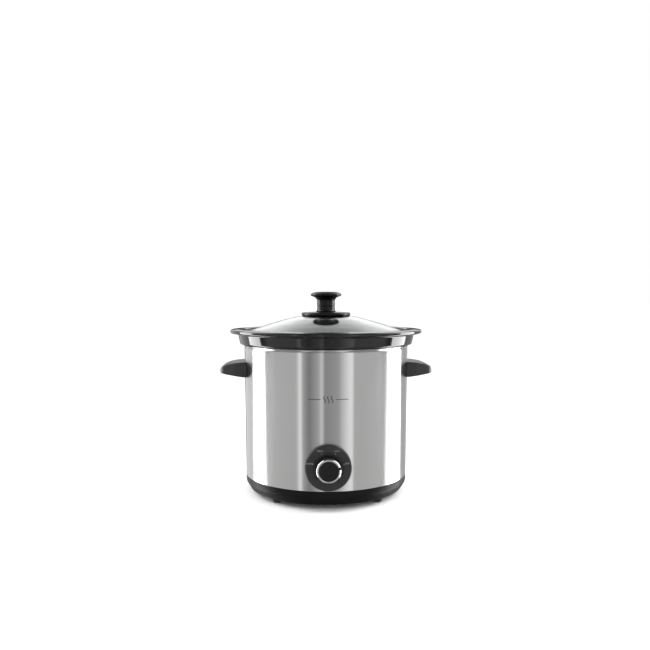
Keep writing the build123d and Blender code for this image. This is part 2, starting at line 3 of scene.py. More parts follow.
import bmesh
import bpy
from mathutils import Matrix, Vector


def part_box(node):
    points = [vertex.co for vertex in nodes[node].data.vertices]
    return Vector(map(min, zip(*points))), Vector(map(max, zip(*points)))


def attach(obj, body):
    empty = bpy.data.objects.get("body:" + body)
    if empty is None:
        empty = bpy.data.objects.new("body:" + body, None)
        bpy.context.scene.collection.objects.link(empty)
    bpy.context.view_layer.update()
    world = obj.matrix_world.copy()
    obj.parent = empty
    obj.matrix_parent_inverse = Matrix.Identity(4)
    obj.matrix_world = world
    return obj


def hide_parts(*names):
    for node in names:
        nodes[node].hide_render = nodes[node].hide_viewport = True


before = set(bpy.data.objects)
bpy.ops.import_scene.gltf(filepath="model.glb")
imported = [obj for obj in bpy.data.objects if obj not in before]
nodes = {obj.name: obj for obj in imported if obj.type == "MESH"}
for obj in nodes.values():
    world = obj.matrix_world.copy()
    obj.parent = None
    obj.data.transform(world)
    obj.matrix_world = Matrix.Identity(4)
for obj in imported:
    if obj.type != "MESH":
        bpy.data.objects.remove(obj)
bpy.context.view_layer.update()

scene = bpy.context.scene
MM = 0.001

# ---------------------------------------------------------- sizes, in millimetres unless named _M or _DEG

SHELL_R = 120.0
SHELL_IN_R = 119.2
SEAM_Z = 27.5
SHELL_TOP_Z = 219.3
WELL_R = 110.5
WELL_OUT_R = 111.3
LIP_R = 140.0
DIAL_Z = 61.2
DIAL_R = 31.7
DIAL_FACE_Y = -126.0
KNOB_R = 16.4
KNOB_FOOT_R = 18.1
RING_IN_R = 13.4
POINTER_DEG = 15.0
HANDLE_TIP_X = 154.5
HANDLE_HALF = 36.0
HANDLE_WALL = 3.2
GLASS = 4.0
FLOOR_HALF_M = 30.0


# ------------------------------------------------------------------ camera, floor and lights

camera_data = bpy.data.cameras.new("camera")
camera_data.lens = 38.51
camera_data.sensor_width = 36.0
camera_data.shift_x = -0.0015
camera_data.shift_y = 0.1052
camera = bpy.data.objects.new("camera", camera_data)
scene.collection.objects.link(camera)
CAMERA_AZIMUTH = radians(-1.5)
CAMERA_DISTANCE = 1.0315
CAMERA_HEIGHT = 0.2854
LOOKING_DOWN_DEG = 7.72
camera.location = (
    CAMERA_DISTANCE * sin(CAMERA_AZIMUTH),
    -CAMERA_DISTANCE * cos(CAMERA_AZIMUTH),
    CAMERA_HEIGHT,
)
camera.rotation_euler = (radians(90 - LOOKING_DOWN_DEG), 0, CAMERA_AZIMUTH)
scene.camera = camera


def linear(code, alpha=1.0):
    """An sRGB hex colour as the linear values that a shader takes."""
    parts = [int(code[i : i + 2], 16) / 255 for i in (1, 3, 5)]
    return (*[p / 12.92 if p <= 0.04045 else ((p + 0.055) / 1.055) ** 2.4 for p in parts], alpha)


def add(tree, kind, settings=None, inputs=None):
    """Adds one node. Inputs are plain values, or (node, output name) for a link."""
    node = tree.nodes.new(kind)
    for key, value in (settings or {}).items():
        setattr(node, key, value)
    for key, value in (inputs or {}).items():
        if isinstance(value, tuple) and isinstance(value[0], bpy.types.Node):
            tree.links.new(value[0].outputs[value[1]], node.inputs[key])
        else:
            node.inputs[key].default_value = value
    return node


def per(mm):
    """Pattern scale for features of this size."""
    return 1000.0 / mm


def blank(name):
    """A material with an empty tree, and its object coordinates."""
    made = bpy.data.materials.new(name)
    made.use_nodes = True
    made.node_tree.nodes.clear()
    return made, made.node_tree, add(made.node_tree, "ShaderNodeTexCoord")


def at(azimuth, elevation, distance, target=(0, 0, 0.14)):
    """A point seen from the target at this azimuth (0 is the front, 90 the right) and height angle."""
    a, e = radians(azimuth), radians(elevation)
    return Vector(target) + distance * Vector((sin(a) * cos(e), -cos(a) * cos(e), sin(e)))


CARD_STEP_DEG = 3


def card(name, start, end, from_radiance, to_radiance, distance=2.3, low=-5.5, high=2.6, lights_room=False):
    """An upright studio card between two azimuths, graded from one side to the other, that gloss mirrors
    as an upright band. It is out of the camera's sight."""
    made, tree, _ = blank(name)
    graded = add(tree, "ShaderNodeAttribute", {"attribute_name": "radiance"})
    glow = add(tree, "ShaderNodeEmission", inputs={"Color": (1, 1, 1, 1), "Strength": (graded, "Fac")})
    add(tree, "ShaderNodeOutputMaterial", inputs={"Surface": (glow, "Emission")})
    steps = max(1, round((end - start) / CARD_STEP_DEG))
    corners, levels = [], []
    for k in range(steps + 1):
        spot = at(start + (end - start) * k / steps, 0, distance)
        corners += [(spot.x, spot.y, low), (spot.x, spot.y, high)]
        levels += [from_radiance + (to_radiance - from_radiance) * k / steps] * 2
    mesh = bpy.data.meshes.new(name)
    mesh.from_pydata(corners, [], [(2 * k, 2 * k + 2, 2 * k + 3, 2 * k + 1) for k in range(steps)])
    mesh.attributes.new("radiance", "FLOAT", "POINT").data.foreach_set("value", levels)
    mesh.materials.append(made)
    sheet = bpy.data.objects.new(name, mesh)
    scene.collection.objects.link(sheet)
    sheet.visible_camera = False
    sheet.visible_shadow = False
    sheet.visible_diffuse = lights_room


# Two bright strips at the sides make the steel's white bands and light the whole cooker.
card("strip left", -118.5, -94.5, 8.0, 8.0, distance=1.5, low=-1.2, lights_room=True)
card("strip right", 92, 121.5, 8.0, 8.0, distance=1.5, low=-1.2, lights_room=True)
# Grey cards in front make the softer light and dark bands between them.
card("band left bright", -41, -34.7, 0.75, 1.50)
card("band left dark", -33, -22.5, 0.48, 0.24)
card("band left middle", -22.5, -9.5, 0.32, 0.58)
card("band left peak", -9.5, -4.8, 0.86, 0.86)
card("band middle dark", -4.8, 17.1, 0.35, 0.48)
card("band right bright", 17.1, 35.2, 0.58, 1.38)
# On the front side of each strip, a card graded from black gives the white band its dark edge.
card("gap left", -93, -84, 0.0, 0.52)
card("gap right", 79, 90, 0.55, 0.02)
# Behind, two cards light the sides of the steel, and a low dark one gives the lid its dark rim.
card("rear left", -165, -122.5, 0.86, 0.86)
card("rear right", 128, 150, 0.58, 0.44)
card("rear low", 158, 202, 0.03, 0.03, distance=2.1, high=0.36)

# The camera sees plain white. Surfaces are lit by an even white room, and gloss mirrors a greyer one with
# a dark ceiling. Behind the cooker that room also glows above the horizon, which is what lights up the lid.
world = bpy.data.worlds.new("studio")
world.use_nodes = True
world.node_tree.nodes.clear()
sky = world.node_tree
seen = add(sky, "ShaderNodeLightPath")
towards = add(sky, "ShaderNodeTexCoord")
split = add(sky, "ShaderNodeSeparateXYZ", inputs={"Vector": (towards, "Generated")})
heights = add(sky, "ShaderNodeMapRange", inputs={"Value": (split, "Z"), "From Min": -1.0, "From Max": 1.0})
rearward = add(sky, "ShaderNodeMapRange", inputs={"Value": (split, "Y"), "From Min": -0.1, "From Max": 0.45})


def by_height(bands):
    """A grey that changes with height, from (height, level) pairs: 0 is straight down and 1 straight up."""
    shade = add(sky, "ShaderNodeValToRGB", inputs={"Fac": (heights, "Result")})
    for height, level in bands:
        shade.color_ramp.elements.new(height).color = (level, level, level, 1)
    for spare in (len(bands) + 1, 0):  # the two stops that a new ramp comes with
        shade.color_ramp.elements.remove(shade.color_ramp.elements[spare])
    return shade


ahead = by_height([(0.12, 0.10), (0.30, 0.33), (0.70, 0.33), (0.84, 0.06)])
behind = by_height([
    (0.12, 0.10), (0.30, 0.33), (0.54, 0.33), (0.62, 0.68), (0.74, 0.66), (0.80, 0.42), (0.92, 0.06)])
shade = add(sky, "ShaderNodeMix", {"data_type": "RGBA"}, {
    0: (rearward, "Result"), 6: (ahead, "Color"), 7: (behind, "Color")})
mirrored = add(sky, "ShaderNodeBackground", inputs={"Color": (shade, 2), "Strength": 2.0})
lit = add(sky, "ShaderNodeBackground", inputs={"Color": linear("#FFFFFF"), "Strength": 1.25})
backdrop = add(sky, "ShaderNodeBackground", inputs={"Color": linear("#FFFFFF"), "Strength": 1.0})
room = add(sky, "ShaderNodeMixShader", inputs={
    0: (seen, "Is Diffuse Ray"), 1: (mirrored, "Background"), 2: (lit, "Background")})
shown = add(sky, "ShaderNodeMixShader", inputs={
    0: (seen, "Is Camera Ray"), 1: (room, "Shader"), 2: (backdrop, "Background")})
add(sky, "ShaderNodeOutputWorld", inputs={"Surface": (shown, "Shader")})
scene.world = world
scene.view_settings.view_transform = "Standard"


# ------------------------------------------------------------------ materials

# Ferritic stainless sheet, brushed round the body before it was rolled. The grain runs level, so it
# smears every reflection up and down and leaves the upright edges of the bands crisp.
# Real brush lines are about 0.15 mm apart, too fine to show, so these are drawn 0.8 mm apart.
brushed_stainless, tree, coords = blank("brushed stainless steel")
stretch = add(tree, "ShaderNodeMapping", inputs={
    "Vector": (coords, "Object"), "Scale": (per(70), per(70), per(0.8))})
grain = add(tree, "ShaderNodeTexNoise", inputs={
    "Vector": (stretch, "Vector"), "Scale": 1.0, "Detail": 5.0, "Roughness": 0.7})
tone = add(tree, "ShaderNodeMapRange", inputs={
    "Value": (grain, "Fac"), "From Min": 0.3, "From Max": 0.7, "To Min": 0.215, "To Max": 0.235})
tint = add(tree, "ShaderNodeMix", {"data_type": "RGBA"}, {
    0: (grain, "Fac"), 6: linear("#CACACA"), 7: linear("#D0D0CF")})
ridge = add(tree, "ShaderNodeBump", inputs={"Strength": 0.012, "Distance": 0.0001, "Height": (grain, "Fac")})
round_body = add(tree, "ShaderNodeTangent", {"direction_type": "RADIAL", "axis": "Z"})
shader = add(tree, "ShaderNodeBsdfPrincipled", inputs={
    "Base Color": (tint, 2), "Metallic": 1.0, "Roughness": (tone, "Result"), "Anisotropic": 1.0,
    "Anisotropic Rotation": 0.25, "Normal": (ridge, "Normal"), "Tangent": (round_body, "Tangent")})
add(tree, "ShaderNodeOutputMaterial", inputs={"Surface": (shader, "BSDF")})

# Stoneware under a poured black glaze: deep, wet and slightly rippled.
# The ripple is about 14 mm across, and the clay's specks under the glaze about 0.8 mm.
black_glaze, tree, coords = blank("black glazed stoneware")
ripple = add(tree, "ShaderNodeTexNoise", inputs={
    "Vector": (coords, "Object"), "Scale": per(14), "Detail": 1.0})
speck = add(tree, "ShaderNodeTexNoise", inputs={
    "Vector": (coords, "Object"), "Scale": per(0.8), "Detail": 2.0})
tint = add(tree, "ShaderNodeMix", {"data_type": "RGBA"}, {
    0: (speck, "Fac"), 6: linear("#0B0B0C"), 7: linear("#18181A")})
wave = add(tree, "ShaderNodeBump", inputs={"Strength": 0.12, "Distance": 0.0004, "Height": (ripple, "Fac")})
shader = add(tree, "ShaderNodeBsdfPrincipled", inputs={
    "Base Color": (tint, 2), "Roughness": 0.06, "IOR": 1.52, "Normal": (wave, "Normal")})
add(tree, "ShaderNodeOutputMaterial", inputs={"Surface": (shader, "BSDF")})

# Pressed and tempered soda-lime glass, clear, with a faint unevenness of about 30 mm from the press.
tempered_glass, tree, coords = blank("tempered soda-lime glass")
press = add(tree, "ShaderNodeTexNoise", inputs={
    "Vector": (coords, "Object"), "Scale": per(30), "Detail": 0.0})
sway = add(tree, "ShaderNodeBump", inputs={"Strength": 0.05, "Distance": 0.0004, "Height": (press, "Fac")})
shader = add(tree, "ShaderNodeBsdfPrincipled", inputs={
    "Base Color": linear("#F4F8F7"), "Roughness": 0.02, "IOR": 1.52, "Transmission Weight": 1.0,
    "Normal": (sway, "Normal")})
add(tree, "ShaderNodeOutputMaterial", inputs={"Surface": (shader, "BSDF")})


def moulded(name, dark, light, roughness, grit_mm, depth, shine=0.5):
    """An opaque moulding with a spark-eroded skin: fine grit for the sheen and broad clouds in its gloss."""
    made, tree, coords = blank(name)
    grit = add(tree, "ShaderNodeTexNoise", inputs={
        "Vector": (coords, "Object"), "Scale": per(grit_mm), "Detail": 3.0})
    cloud = add(tree, "ShaderNodeTexNoise", inputs={
        "Vector": (coords, "Object"), "Scale": per(25), "Detail": 2.0})
    tint = add(tree, "ShaderNodeMix", {"data_type": "RGBA"}, {
        0: (cloud, "Fac"), 6: linear(dark), 7: linear(light)})
    gloss = add(tree, "ShaderNodeMapRange", inputs={
        "Value": (cloud, "Fac"), "From Min": 0.3, "From Max": 0.7,
        "To Min": roughness - 0.04, "To Max": roughness + 0.04})
    skin = add(tree, "ShaderNodeBump", inputs={
        "Strength": depth, "Distance": 0.0001, "Height": (grit, "Fac")})
    shader = add(tree, "ShaderNodeBsdfPrincipled", inputs={
        "Base Color": (tint, 2), "Roughness": (gloss, "Result"), "IOR": 1.5, "Specular IOR Level": shine,
        "Normal": (skin, "Normal")})
    add(tree, "ShaderNodeOutputMaterial", inputs={"Surface": (shader, "BSDF")})
    return made


# Grit is really 0.05 to 0.1 mm; it is drawn at 0.6 mm or more so that it shows.

# Moulded polypropylene, near black: a dull skin that hardly mirrors the strips.
base_polypropylene = moulded("moulded polypropylene", "#0D0D0E", "#131315", 0.42, 0.7, 0.25, 0.10)
# Pressed phenolic with a satin skin: dark grey, with a soft sheen over the shoulders.
handle_phenolic = moulded("moulded phenolic", "#242425", "#2C2C2D", 0.36, 0.6, 0.22, 0.35)
# The same resin polished in the mould: black, with a tighter highlight.
knob_phenolic = moulded("polished phenolic", "#0E0E10", "#151517", 0.30, 0.9, 0.10, 0.25)
# Moulded ABS with a fine satin grain: an even dark grey behind the print.
dial_abs = moulded("satin abs", "#202022", "#2A2A2C", 0.42, 0.6, 0.20, 0.4)
# Moulded thermoplastic rubber: matt black with no clear reflection.
foot_rubber = moulded("thermoplastic rubber", "#151515", "#1E1E1E", 0.75, 0.8, 0.35)
# Glass-filled nylon, moulded: black and slightly frosted by its fibres.
gland_nylon = moulded("glass-filled nylon", "#131313", "#1B1B1B", 0.50, 0.6, 0.25)
# Unpainted melamine, pressed: a flat warm buff.
switch_melamine = moulded("melamine moulding", "#8D8474", "#9C9383", 0.55, 0.6, 0.20)
# Moulded silicone rubber: milky, with a soft blurred shine.
silicone = moulded("milky silicone rubber", "#C6C6C2", "#CFCFCB", 0.45, 0.8, 0.10)
# Extruded silicone sleeve over the leads: off-white and waxy.
lead_sleeve = moulded("silicone lead sleeve", "#C8C5BA", "#D8D5CA", 0.55, 0.6, 0.15)


def metal(name, dull, bright, roughness, spread, patch_mm):
    """Plain sheet or turned metal: its colour and gloss drift in patches from handling and rolling."""
    made, tree, coords = blank(name)
    patch = add(tree, "ShaderNodeTexNoise", inputs={
        "Vector": (coords, "Object"), "Scale": per(patch_mm), "Detail": 4.0})
    tint = add(tree, "ShaderNodeMix", {"data_type": "RGBA"}, {
        0: (patch, "Fac"), 6: linear(dull), 7: linear(bright)})
    gloss = add(tree, "ShaderNodeMapRange", inputs={
        "Value": (patch, "Fac"), "From Min": 0.3, "From Max": 0.7,
        "To Min": roughness, "To Max": roughness + spread})
    shader = add(tree, "ShaderNodeBsdfPrincipled", inputs={
        "Base Color": (tint, 2), "Metallic": 1.0, "Roughness": (gloss, "Result")})
    add(tree, "ShaderNodeOutputMaterial", inputs={"Surface": (shader, "BSDF")})
    return made


# Drawn sheet with a rolled aluminium skin: dull silver, streaked softer and sharper by the press.
aluminised_sheet = metal("aluminised steel sheet", "#A5A5A2", "#B9B9B6", 0.30, 0.14, 12)
# Barrel-plated zinc: light grey, slightly uneven in its shine.
zinc_plate = metal("zinc plated steel", "#A9A9A4", "#BDBDB8", 0.28, 0.12, 6)
# Sheet that has been hot over mica: darker and dull.
dull_sheet = metal("heater sheet over mica", "#8B8A86", "#9B9A95", 0.40, 0.15, 8)
# Stamped and turned brass: plain yellow metal, a little tarnished.
brass = metal("brass", "#B08A4A", "#C79F5C", 0.25, 0.10, 5)
# Drawn and turned aluminium: pale and satin.
fuse_aluminium = metal("aluminium can", "#B5B5B5", "#C5C5C5", 0.25, 0.08, 5)
# Bright chrome over ABS: a clear mirror that picks out the ring.
chrome_plate = metal("chrome plated abs", "#D4D6D8", "#E2E3E4", 0.05, 0.03, 9)

# Pad-printed ink, thin and slightly uneven, and the dark mark printed on the steel.
pad_print = moulded("white pad print", "#7C7C7C", "#8C8C8C", 0.55, 0.6, 0.05)
steel_print = moulded("dark grey pad print", "#2A2A2B", "#363637", 0.45, 0.6, 0.05)


# ------------------------------------------------------------------ making pieces

def rounded(corners, steps=6):
    """An open outline through corners of (a, b) or (a, b, radius), with each radius drawn as an arc."""
    line = []
    for i, corner in enumerate(corners):
        here = Vector(corner[:2])
        size = corner[2] if len(corner) > 2 else 0
        if size == 0 or i in (0, len(corners) - 1):
            line.append(tuple(here))
            continue
        to_last = (Vector(corners[i - 1][:2]) - here).normalized()
        to_next = (Vector(corners[i + 1][:2]) - here).normalized()
        half = to_last.angle(to_next) / 2
        middle = here + (to_last + to_next).normalized() * (size / sin(half))
        first = here + to_last * (size / tan(half)) - middle
        sweep = first.angle_signed(here + to_next * (size / tan(half)) - middle)
        for k in range(steps + 1):
            turn = -sweep * k / steps
            line.append((
                middle.x + first.x * cos(turn) - first.y * sin(turn),
                middle.y + first.x * sin(turn) + first.y * cos(turn),
            ))
    return line


WELD_M = 2e-6


def solid(name, points, faces, material, body, slot, *stands_for):
    """Makes a smooth piece from points in millimetres and says what it rides on and stands for."""
    mesh = bpy.data.meshes.new(name)
    mesh.from_pydata([Vector(p) * MM for p in points], [], faces)
    clean = bmesh.new()
    clean.from_mesh(mesh)
    bmesh.ops.remove_doubles(clean, verts=clean.verts, dist=WELD_M)
    bmesh.ops.dissolve_degenerate(clean, edges=clean.edges, dist=WELD_M)
    bmesh.ops.recalc_face_normals(clean, faces=clean.faces)
    for face in clean.faces:
        face.smooth = True
    clean.to_mesh(mesh)
    clean.free()
    mesh.materials.append(material)
    piece = bpy.data.objects.new(name, mesh)
    scene.collection.objects.link(piece)
    piece.modifiers.new("even shading", "WEIGHTED_NORMAL").keep_sharp = True
    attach(piece, body)
    if stands_for:
        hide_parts(*stands_for)
    return piece


def turned(outline, steps, about="Z", centre=(0, 0), start=0.0, sweep=360.0):
    """Points and faces of an outline of (radius, height) turned about an axis, capped if part of a turn."""
    full = sweep >= 360.0
    columns = steps if full else steps + 1
    points, faces = [], []
    for k in range(columns):
        a = radians(start + sweep * k / steps)
        for r, h in outline:
            if about == "Z":
                points.append((centre[0] + r * cos(a), centre[1] + r * sin(a), h))
            else:
                points.append((centre[0] + r * cos(a), h, centre[1] + r * sin(a)))
    count = len(outline)
    for k in range(steps):
        here, there = k * count, ((k + 1) % columns) * count
        for i in range(count):
            j = (i + 1) % count
            faces.append((here + i, here + j, there + j, there + i))
    if not full:
        faces.append(tuple(range(count)))
        faces.append(tuple(reversed(range((columns - 1) * count, columns * count))))
    return points, faces


# ------------------------------------------------------------------ housing

shell_outline = rounded([
    (SHELL_IN_R, SEAM_Z + 0.25),
    (SHELL_R, SEAM_Z + 0.25, 0.25),
    (SHELL_R, 60.0),
    (SHELL_R, 140.0),
    (SHELL_R, 215.3, 0.3),
    (SHELL_R - 0.7, 215.9, 0.3),
    (SHELL_R + 0.75, 218.6, 0.5),
    (SHELL_R + 0.2, SHELL_TOP_Z, 0.4),
    (117.4, SHELL_TOP_Z, 0.6),
    (117.4, 216.2),
    (SHELL_IN_R, 216.2),
])
solid("steel_shell", *turned(shell_outline, 256), brushed_stainless, "housing", "shell_steel", "outer_shell")

well_outline = rounded([
    (0, 84.0),
    (WELL_OUT_R, 84.0, 16.8),
    (WELL_OUT_R, 150.0),
    (WELL_OUT_R, SHELL_TOP_Z, 0.8),
    (SHELL_IN_R, SHELL_TOP_Z),
    (SHELL_IN_R, 220.1),
    (WELL_R, 220.1, 1.8),
    (WELL_R, 150.0),
    (WELL_R, 84.8, 16.0),
    (80.0, 84.8, 2.0),
    (77.0, 85.8, 2.0),
    (0, 85.8),
], 8)
solid("heating_well", *turned(well_outline, 160), aluminised_sheet,
      "housing", "well_aluminised", "inner_well")

for corner_name in ("front_left", "front_right", "rear_left", "rear_right"):
    low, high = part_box("foot_" + corner_name)
    middle = ((low.x + high.x) / 2 / MM, (low.y + high.y) / 2 / MM)
    foot_outline = rounded([
        (0, 0.6), (3.6, 0.6, 0.6), (4.4, 0.0, 0.6), (6.8, 0.0, 0.9), (7.3, 7.1, 0.4),
        (3.2, 7.1), (3.2, 9.8), (4.3, 10.2, 0.3), (2.4, 13.2, 0.5), (0, 13.2),
    ])
    solid("foot_pad_" + corner_name, *turned(foot_outline, 48, centre=middle), foot_rubber,
          "housing", "foot_rubber", "foot_" + corner_name)

GLAND_Z = 50.0
gland_outline = rounded([
    (3.9, 116.2), (8.6, 116.2), (8.6, 118.6), (6.2, 118.6), (6.2, 120.2), (8.6, 120.2),
    (8.6, 122.4, 0.8), (6.6, 123.4, 1.0), (3.9, 123.4, 0.7), (3.9, 119.0),
])
solid("lead_gland", *turned(gland_outline, 64, "Y", (0, GLAND_Z)), gland_nylon,
      "housing", "gland_black", "cord_gland")


# ------------------------------------------------------------------ handles

# The line along the top of a handle as (distance out, height), from the shell to the tip.
HANDLE_TOP = [
    (112.0, 195.8), (122.0, 195.3), (134.0, 194.3), (143.0, 192.8), (150.0, 190.3), (154.5, 186.4)]
# The underside is this high at this distance out, and rises towards the tip.
UNDER_Z = 174.0
UNDER_FROM_X = 122.0
UNDER_SLOPE = 0.15
# Points round the outside of a ring, and along the shell to close it.
EVEN_POINTS = 64
ALONG_SHELL = 18
# The surfaces close onto a spine, a shrunken outline laid along the handle's middle line.
SPINE_MIDDLE_X = 137.0
SPINE_SHARE = 0.72


def top_of_handle(x):
    for (x0, z0), (x1, z1) in zip(HANDLE_TOP, HANDLE_TOP[1:]):
        if x <= x1:
            return z0 + (z1 - z0) * max(0.0, (x - x0) / (x1 - x0))
    return HANDLE_TOP[-1][1]


def under_of_handle(x):
    return UNDER_Z + (max(x, SHELL_R) - UNDER_FROM_X) * UNDER_SLOPE


def handle_plan(inset):
    """The handle's outline from above as (x, y), from the shell round the tip and back to the shell."""
    tip, half = HANDLE_TIP_X - inset, HANDLE_HALF - inset
    corner = max(13.0 - inset, 4.0)
    line = rounded([(106.0, -half), (132.0, -half, 18.0), (tip, -half + 7.5, corner),
                    (tip, half - 7.5, corner), (132.0, half, 18.0), (106.0, half)], 8)
    outline = []
    for (x0, y0), (x1, y1) in zip(line, line[1:]):
        cuts = max(1, int(hypot(x1 - x0, y1 - y0) / 2.5))
        outline += [(x0 + (x1 - x0) * k / cuts, y0 + (y1 - y0) * k / cuts) for k in range(cuts)]
    return outline + [line[-1]]


def resample(line, count):
    """The same open line with evenly spaced points, then closed along the shell."""
    lengths = [0.0]
    for (x0, y0), (x1, y1) in zip(line, line[1:]):
        lengths.append(lengths[-1] + hypot(x1 - x0, y1 - y0))
    spots, k = [], 0
    for n in range(count):
        want = lengths[-1] * n / (count - 1)
        while k < len(lengths) - 2 and lengths[k + 1] < want:
            k += 1
        span = lengths[k + 1] - lengths[k] or 1.0
        t = (want - lengths[k]) / span
        (x0, y0), (x1, y1) = line[k], line[k + 1]
        spots.append((x0 + (x1 - x0) * t, y0 + (y1 - y0) * t))
    half = abs(spots[0][1])
    for n in range(1, ALONG_SHELL):
        spots.append((0.0, half - 2 * half * n / ALONG_SHELL))
    return spots


# The handle's section as (inset, surface it follows, height above that surface): down the walls of the
# finger recess, then round its rim to the outside. The rounded shoulder follows.
RECESS_STEPS = [
    (HANDLE_WALL + 2.0, top_of_handle, -HANDLE_WALL),
    (HANDLE_WALL + 0.6, top_of_handle, -HANDLE_WALL - 0.6),
    (HANDLE_WALL, top_of_handle, -HANDLE_WALL - 2.0),
    (HANDLE_WALL, under_of_handle, 1.0),
    (HANDLE_WALL - 0.3, under_of_handle, 0.4),
    (HANDLE_WALL - 1.0, under_of_handle, 0.0),
    (1.2, under_of_handle, 0.0),
    (0.4, under_of_handle, 0.4),
    (0.0, under_of_handle, 1.2),
]
SHOULDER = 2.5
SHOULDER_STEPS = range(0, 91, 15)


def handle(side, sign):
    """A hollow moulding, open below."""
    rings = []

    def ring_at(inset, height_at):
        line = resample(handle_plan(inset), EVEN_POINTS)
        spots = [(max(x, sqrt(SHELL_R**2 - y**2) + 0.03), y) for x, y in line]
        rings.append([(x, y, height_at(x)) for x, y in spots])

    for inset, surface, lift in RECESS_STEPS:
        ring_at(inset, lambda x: surface(x) + lift)
    for turn in SHOULDER_STEPS:
        bend = radians(turn)

        def height(x):
            # a smaller shoulder near the tip, where the handle is thin
            drop = min(SHOULDER, 0.7 * (top_of_handle(x) - under_of_handle(x) - 1.2))
            return top_of_handle(x) - drop * (1 - sin(bend))

        ring_at(SHOULDER * (1 - cos(bend)), height)

    def cap(ring, lift):
        """Rings that close a surface onto its spine, which lies on y = 0."""
        made = []
        for w in (0.25, 0.5, 0.75, 1.0):
            row = []
            for x, y, _ in ring:
                spine_x = SPINE_MIDDLE_X + (x - SPINE_MIDDLE_X) * SPINE_SHARE
                row.append((x + (spine_x - x) * w, y * (1 - w), top_of_handle(x + (spine_x - x) * w) + lift))
            made.append(row)
        return made

    rings = cap(rings[0], -HANDLE_WALL)[::-1] + rings + cap(rings[-1], 0.0)
    points = [(sign * x, y, z) for ring in rings for x, y, z in ring]
    count = len(rings[0])
    faces = []
    for k in range(len(rings) - 1):
        for i in range(count):
            j = (i + 1) % count
            faces.append((k * count + i, k * count + j, (k + 1) * count + j, (k + 1) * count + i))
    solid(f"{side}_handle", points, faces, handle_phenolic, "housing", "handle_black", f"handle_{side}")


handle("left", -1)
handle("right", 1)


# ------------------------------------------------------------------ control

plate_points, plate_faces = turned(rounded([
    (5.3, -110.0),
    (5.3, -125.4),
    (20.2, -125.4, 0.3),
    (20.6, DIAL_FACE_Y, 0.3),
    (DIAL_R - 1.6, DIAL_FACE_Y, 1.2),
    (DIAL_R, -124.6, 1.2),
    (DIAL_R, -110.0),
]), 128, "Y", (0, DIAL_Z))
plate_points = [(x, -sqrt(120.05**2 - x**2) if y > -112 else y, z) for x, y, z in plate_points]
solid("control_plate", plate_points, plate_faces, dial_abs, "housing", "dial_black", "dial_plate")

knob_outline = rounded([
    (3.2, -131.8),
    (11.5, -131.8, 0.6),
    (11.5, -126.6),
    (KNOB_FOOT_R - 0.1, -126.6, 0.4),
    (KNOB_FOOT_R, -128.2, 0.8),
    (KNOB_R + 0.1, -139.6, 0.4),
    (RING_IN_R + 0.05, -139.9),
    (RING_IN_R + 0.05, -142.2, 0.3),
    (12.6, -142.2, 1.0),
    (9.0, -141.5, 12.0),
    (3.0, -141.2, 6.0),
    (0, -141.2),
    (0, -139.2),
    (3.2, -139.2),
])
solid("knob_body", *turned(knob_outline, 128, "Y", (0, DIAL_Z)), knob_phenolic,
      "control", "knob_black", "control_knob")

# The bright ring is open where the pointer's nub sits, with a hair of clearance at each side.
GAP_DEG = 6.2
NUB_CLEAR_DEG = 0.9
ring_outline = rounded([
    (RING_IN_R + 0.1, -139.95),
    (KNOB_R, -139.95, 0.2),
    (KNOB_R, -143.1, 2.1),
    (RING_IN_R + 0.1, -143.1, 0.3),
    (RING_IN_R + 0.1, -140.6),
])
solid("bright_ring",
      *turned(ring_outline, 120, "Y", (0, DIAL_Z), POINTER_DEG + GAP_DEG, 360 - 2 * GAP_DEG),
      chrome_plate, "control", "ring_chrome", "knob_ring")

nub_outline = rounded([
    (RING_IN_R - 0.2, -139.8),
    (KNOB_R - 0.2, -139.8),
    (KNOB_R - 0.2, -142.4, 0.6),
    (RING_IN_R - 0.2, -142.2, 0.6),
    (RING_IN_R - 0.2, -140.4),
])
solid("pointer_nub",
      *turned(nub_outline, 8, "Y", (0, DIAL_Z), POINTER_DEG - GAP_DEG + NUB_CLEAR_DEG,
              2 * GAP_DEG - 2 * NUB_CLEAR_DEG),
      knob_phenolic, "control", "knob_black")


CAPITALS = 0.7  # how much of a letter's size its capitals take up


def lettering(name, words, height, spot, body, material):
    """Small raised print on the dial plate: generic words only."""
    curve = bpy.data.curves.new(name, "FONT")
    curve.body = words
    curve.size = height * MM / CAPITALS
    curve.extrude = 0.00004
    curve.align_x = "CENTER"
    curve.align_y = "CENTER"
    curve.space_character = 1.06
    curve.materials.append(material)
    piece = bpy.data.objects.new(name, curve)
    piece.location = Vector(spot) * MM
    piece.rotation_euler = (radians(90), 0, 0)
    scene.collection.objects.link(piece)
    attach(piece, body)
    return piece


MARK_R = 26.2
MARK_HEIGHT = 2.2
TICK_IN_R, TICK_OUT_R, TICK_HALF = 21.0, 22.4, 0.4
for words, step in (("WARM", -75), ("HIGH", -25), ("LOW", 25), ("OFF", 75)):
    a = radians(90 - step)
    spot = (MARK_R * cos(a), DIAL_FACE_Y - 0.05, DIAL_Z + MARK_R * sin(a))
    lettering("mark_" + words.lower(), words, MARK_HEIGHT, spot, "housing", pad_print)
    tick = [(TICK_IN_R, -TICK_HALF), (TICK_IN_R, TICK_HALF),
            (TICK_OUT_R, TICK_HALF), (TICK_OUT_R, -TICK_HALF)]
    ink = []
    for depth in (DIAL_FACE_Y - 0.07, DIAL_FACE_Y + 0.05):
        for r, side in tick:
            ink.append((r * cos(a) - side * sin(a), depth, DIAL_Z + r * sin(a) + side * cos(a)))
    faces = [(0, 1, 2, 3), (7, 6, 5, 4)] + [(k, (k + 1) % 4, (k + 1) % 4 + 4, k + 4) for k in range(4)]
    solid("tick_" + words.lower(), ink, faces, pad_print, "housing", "dial_black")


# ------------------------------------------------------------------ printed ornament on the steel

